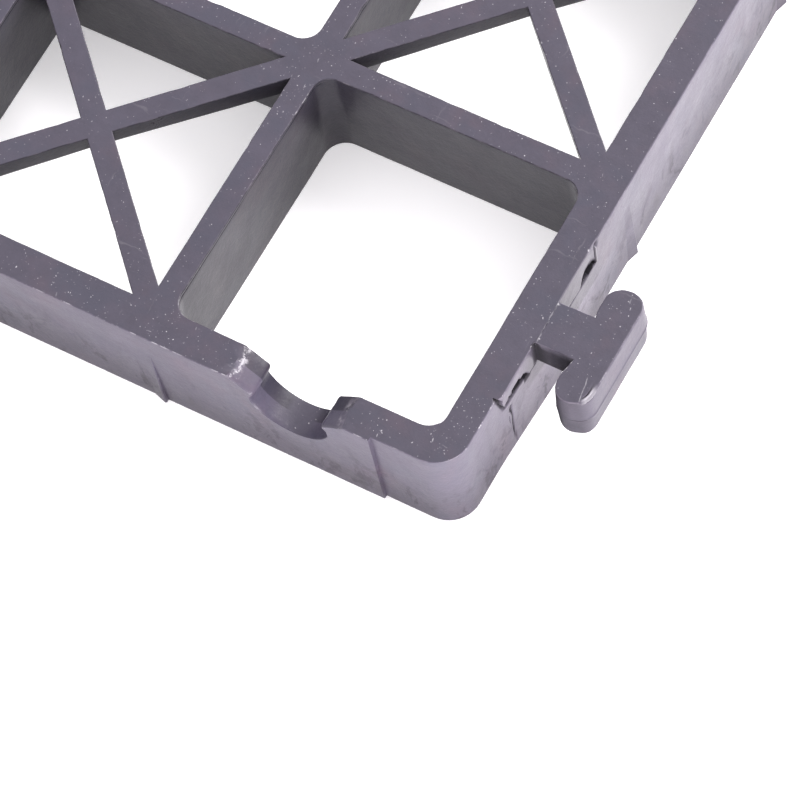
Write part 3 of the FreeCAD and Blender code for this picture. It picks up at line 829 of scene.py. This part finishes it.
    # body colour: cloudy, with soft smears down and along the walls
    cloud = n.noise(pos, 14, 5, 0.6)
    mott = n.noise(pos, 85, 5, 0.65)
    grain = n.noise(pos, 1300, 3, 0.6)
    flow = n.noise(n.mapped(bent, (11, 11, 75)), 1.0, 4, 0.6, 0.6)
    smear = n.noise(n.mapped(bent, (95, 95, 40)), 1.0, 5, 0.65, 0.9)
    tone = n.math("ADD", n.math("MULTIPLY", n.math("SUBTRACT", cloud, 0.5), 0.45),
                  n.math("MULTIPLY", n.math("SUBTRACT", mott, 0.5), 0.40))
    blotch = n.noise(pos, 270, 3, 0.6, 0.4)
    tone = n.math("ADD", tone, n.math("MULTIPLY", n.math("SUBTRACT", blotch, 0.5), 0.42))
    tone = n.math("ADD", tone, n.math("MULTIPLY", n.math("SUBTRACT", grain, 0.5), 0.30))
    tone = n.math("ADD", tone, n.math("MULTIPLY", n.math("MULTIPLY", n.math("SUBTRACT", flow, 0.5), 0.55), side))
    tone = n.math("ADD", tone, n.math("MULTIPLY", n.math("MULTIPLY", n.math("SUBTRACT", smear, 0.5), 0.75), side))
    fac = n.math("ADD", n.math("MULTIPLY", tone, 0.95), 0.5, clamp=True)
    base = n.mix(fac, (0.0255, 0.0230, 0.0325, 1), (0.0550, 0.0490, 0.0690, 1))
    tint = n.span(n.noise(n.mapped(pos, (1, 1, 1), move=(3, 1, 2)), 48, 4, 0.6), 0.50, 0.74)
    base = n.mix(n.math("MULTIPLY", tint, n.span(side, 0.0, 1.0, 0.42, 0.55, smooth=False)), base, (0.060, 0.042, 0.055, 1))
    cool = n.span(n.noise(n.mapped(pos, (1, 1, 1), move=(7, 4, 1)), 60, 3, 0.6), 0.48, 0.68)
    base = n.mix(n.math("MULTIPLY", cool, 0.55), base, (0.0345, 0.0345, 0.0500, 1))
    # painted light makes the outer walls lighter near the top; they are smudged low down
    outer = n.math("GREATER_THAN", n.math("MAXIMUM", n.math("ABSOLUTE", x), n.math("ABSOLUTE", y)), 0.244)
    lift = n.math("MULTIPLY", n.math("MULTIPLY", n.span(z, 0.020, 0.039), side), outer)
    base = n.mix(n.math("MULTIPLY", lift, 0.20), base, (0.086, 0.078, 0.100, 1))
    # painted shade: inside the cells the walls are darker
    inner = n.math("MULTIPLY", n.math("SUBTRACT", 1.0, outer), side)
    base = n.mix(n.math("MULTIPLY", inner, 0.52), base, (0.0080, 0.0074, 0.0102, 1))
    # painted light: the outer walls lighter beside each link
    by_link = n.math("MULTIPLY", n.math("MULTIPLY", by_link, outer), side)
    base = n.mix(n.math("MULTIPLY", by_link, 0.45), base, (0.105, 0.097, 0.115, 1))
    low = n.math("MULTIPLY", n.math("MULTIPLY", n.span(z, 0.020, 0.003), n.span(smear, 0.47, 0.66)), side)
    base = n.mix(n.math("MULTIPLY", low, 0.55), base, (0.019, 0.0165, 0.022, 1))
    # painted shade: the outer walls darker towards the floor
    foot = n.math("MULTIPLY", n.math("MULTIPLY", outer, side), n.span(z, 0.024, 0.003))
    base = n.mix(n.math("MULTIPLY", foot, 0.40), base, (0.014, 0.012, 0.016, 1))
    stain = n.math("MULTIPLY", n.math("MULTIPLY", n.span(n.noise(n.mapped(bent, (130, 130, 75)), 1.0, 4, 0.65, 0.8), 0.53, 0.66), outer), side)
    stain = n.math("MULTIPLY", stain, n.span(z, 0.030, 0.006, 0.15, 1.0))
    base = n.mix(n.math("MULTIPLY", stain, 0.55), base, (0.016, 0.013, 0.018, 1))
    link = n.math("GREATER_THAN", n.math("MAXIMUM", n.math("ABSOLUTE", x), n.math("ABSOLUTE", y)), 0.2600)
    link = n.math("MULTIPLY", link, side)
    link_foot = n.math("MULTIPLY", link, n.span(z, 0.0305, 0.0290))
    base = n.mix(n.math("MULTIPLY", link, 0.25), base, (0.020, 0.019, 0.022, 1))
    base = n.mix(n.math("MULTIPLY", link_foot, 0.16), base, (0.014, 0.012, 0.016, 1))
    streak = n.noise(n.mapped(bent, (150, 150, 45), (math.radians(38), math.radians(-38), 0)), 1.0, 3, 0.6)
    streak = n.math("MULTIPLY", n.math("MULTIPLY", n.span(streak, 0.60, 0.72), outer), n.span(z, 0.027, 0.008))
    base = n.mix(n.math("MULTIPLY", n.math("MULTIPLY", streak, side), 0.45), base, (0.018, 0.015, 0.019, 1))
    base = n.mix(n.math("MULTIPLY", scratch, 0.28), base, (0.11, 0.104, 0.118, 1))
    worn = n.math("MULTIPLY", edge, n.span(n.noise(pos, 260, 4, 0.65), 0.42, 0.66, 0.02, 0.45))
    base = n.mix(worn, base, (0.115, 0.105, 0.125, 1))
    base = n.mix(side, base, (1.0, 0.965, 1.01, 1), "MULTIPLY")
    # darker where the mesh holds dirt, scuffs and painted shade: hollows, cracks, grooves, stem sides, corners and the
    # heads' ends
    dirt_and_painted_shade = n.add("ShaderNodeAttribute")
    dirt_and_painted_shade.attribute_name = "dirt_and_painted_shade"
    dirt_and_painted_shade = n.math("MULTIPLY", dirt_and_painted_shade.outputs["Fac"], n.span(grain, 0.60, 0.72, 1.0, 0.72))
    base = n.mix(n.math("MULTIPLY", dirt_and_painted_shade, 0.95), base, (0.005, 0.0045, 0.006, 1))
    # painted highlights on the head's flake and the ridge beside the upright line, with the pale flecks, root lines and
    # chips
    painted_highlight = n.add("ShaderNodeAttribute")
    painted_highlight.attribute_name = "painted_highlight"
    pale_marks = n.math("MAXIMUM", n.math("MULTIPLY", fleck, 0.9), n.math("MULTIPLY", root, 0.75))
    chip = n.math("MULTIPLY", n.math("MULTIPLY", edge, rub), n.span(n.noise(bent, 330, 4, 0.7), 0.50, 0.60))
    pale_marks = n.math("MAXIMUM", pale_marks, n.math("MULTIPLY", chip, 0.75))
    pale_marks = n.math("MAXIMUM", pale_marks, n.math("MULTIPLY", painted_highlight.outputs["Fac"], 0.62))
    base = n.mix(pale_marks, base, (0.31, 0.30, 0.32, 1))
    n.link(base, bsdf.inputs["Base Color"])

    r = n.math("ADD", n.span(top, 0.0, 1.0, 0.34, 0.47, smooth=False),
               n.math("MULTIPLY", n.math("SUBTRACT", mott, 0.5), 0.26))
    r = n.math("ADD", r, n.math("MULTIPLY", n.math("SUBTRACT", grain, 0.5), 0.14))
    r = n.math("ADD", r, n.math("MULTIPLY", n.math("MAXIMUM", scratch, fleck), 0.15), clamp=True)
    r = n.math("ADD", r, n.math("MULTIPLY", n.math("MAXIMUM", foot, n.math("ADD", n.math("MULTIPLY", link, 0.7), n.math("MULTIPLY", link_foot, 0.3))), 0.10))
    r = n.math("ADD", r, n.math("MULTIPLY", stain, 0.10))
    r = n.math("ADD", r, n.math("MULTIPLY", dirt_and_painted_shade, 0.9), clamp=True)
    n.link(r, bsdf.inputs["Roughness"])
    bsdf.inputs["Specular IOR Level"].default_value = 0.25

    bump1 = n.add("ShaderNodeBump", Strength=0.30, Distance=0.0007, Height=mott)
    fine = n.math("ADD", n.math("MULTIPLY", grain, 0.5), n.math("MULTIPLY", n.math("MULTIPLY", smear, side), 0.8))
    bump2 = n.add("ShaderNodeBump", Strength=0.35, Distance=0.00022, Height=fine)
    n.link(bump1.outputs[0], bump2.inputs["Normal"])
    n.link(bump2.outputs[0], bsdf.inputs["Normal"])
    return n.material


body.data.materials.clear()
body.data.materials.append(plastic())
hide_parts("paver_grid")
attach(body, "root")

# --------------------------------------------------------------------- the studio
me = bpy.data.meshes.new("studio_floor")
me.from_pydata([(-6, -6, 0), (6, -6, 0), (6, 6, 0), (-6, 6, 0)], [], [(0, 1, 2, 3)])
floor = bpy.data.objects.new("studio_floor", me)
bpy.context.scene.collection.objects.link(floor)
pale = Nodes("pale_floor")
pale_out = pale.add("ShaderNodeOutputMaterial")
pale_bsdf = pale.add("ShaderNodeBsdfPrincipled")
pale.link(pale_bsdf.outputs[0], pale_out.inputs[0])
pale_bsdf.inputs["Base Color"].default_value = (0.90, 0.90, 0.90, 1)
pale_bsdf.inputs["Roughness"].default_value = 0.9
pale_bsdf.inputs["Specular IOR Level"].default_value = 0.0
# softly lit from beneath, as a light table is
pale_bsdf.inputs["Emission Color"].default_value = (1.0, 0.985, 1.0, 1)
pale_bsdf.inputs["Emission Strength"].default_value = 0.28
me.materials.append(pale.material)


def panel(name, azimuth, elevation, far, size, power, colour, level=False):
    """A soft studio light in the given direction from the grid (azimuth from +x), facing it."""
    data = bpy.data.lights.new(name, "AREA")
    data.shape, data.energy, data.color = "RECTANGLE", power, colour
    data.size, data.size_y = size
    ob = bpy.data.objects.new(name, data)
    bpy.context.scene.collection.objects.link(ob)
    a, e = math.radians(azimuth), math.radians(elevation)
    back = np.array((math.cos(a) * math.cos(e), math.sin(a) * math.cos(e), math.sin(e)))
    at = np.array((0.2, -0.15, 0.0)) + far * back
    if level:
        back = back * np.array((1, 1, 0)) / math.cos(e)
    right = np.cross((0, 0, 1), back)
    right = right / np.linalg.norm(right)
    up = np.cross(back, right)
    ob.matrix_world = Matrix(np.vstack([np.column_stack([right, up, back, at]), [0, 0, 0, 1]]).tolist())
    return ob


panel("low_strip", -42, 1.3, 1.0, (1.1, 0.036), 27, (1.0, 0.965, 0.985), level=True)
panel("side_strip", 30, 1.3, 1.0, (0.9, 0.036), 4, (1.0, 0.965, 0.985), level=True)
panel("key", 64, 39, 3.0, (2.7, 2.0), 190, (1.0, 0.98, 0.99))

world = bpy.data.worlds.new("studio")
bpy.context.scene.world = world
world.use_nodes = True
world.node_tree.nodes["Background"].inputs[0].default_value = (1.0, 0.975, 1.0, 1)
world.node_tree.nodes["Background"].inputs[1].default_value = 1.66

scene = bpy.context.scene
scene.view_settings.view_transform = "Standard"
scene.view_settings.look = "None"
scene.view_settings.exposure = 0.0
scene.view_settings.gamma = 1.0

# --------------------------------------------------------------------- the camera
camera_data = bpy.data.cameras.new("camera")
camera = bpy.data.objects.new("camera", camera_data)
scene.collection.objects.link(camera)
camera_data.sensor_width, camera_data.lens = 36.0, 225.0
camera_data.clip_start, camera_data.clip_end = 0.05, 50.0
camera_data.dof.use_dof = False
camera.matrix_world = Matrix((
    (0.867705, -0.391635, 0.306122, 0.66370),
    (0.485497, 0.799883, -0.352819, -0.74137),
    (-0.106686, 0.454763, 0.884199, 1.31033),
    (0, 0, 0, 1)))
scene.camera = camera

bpy.context.view_layer.update()
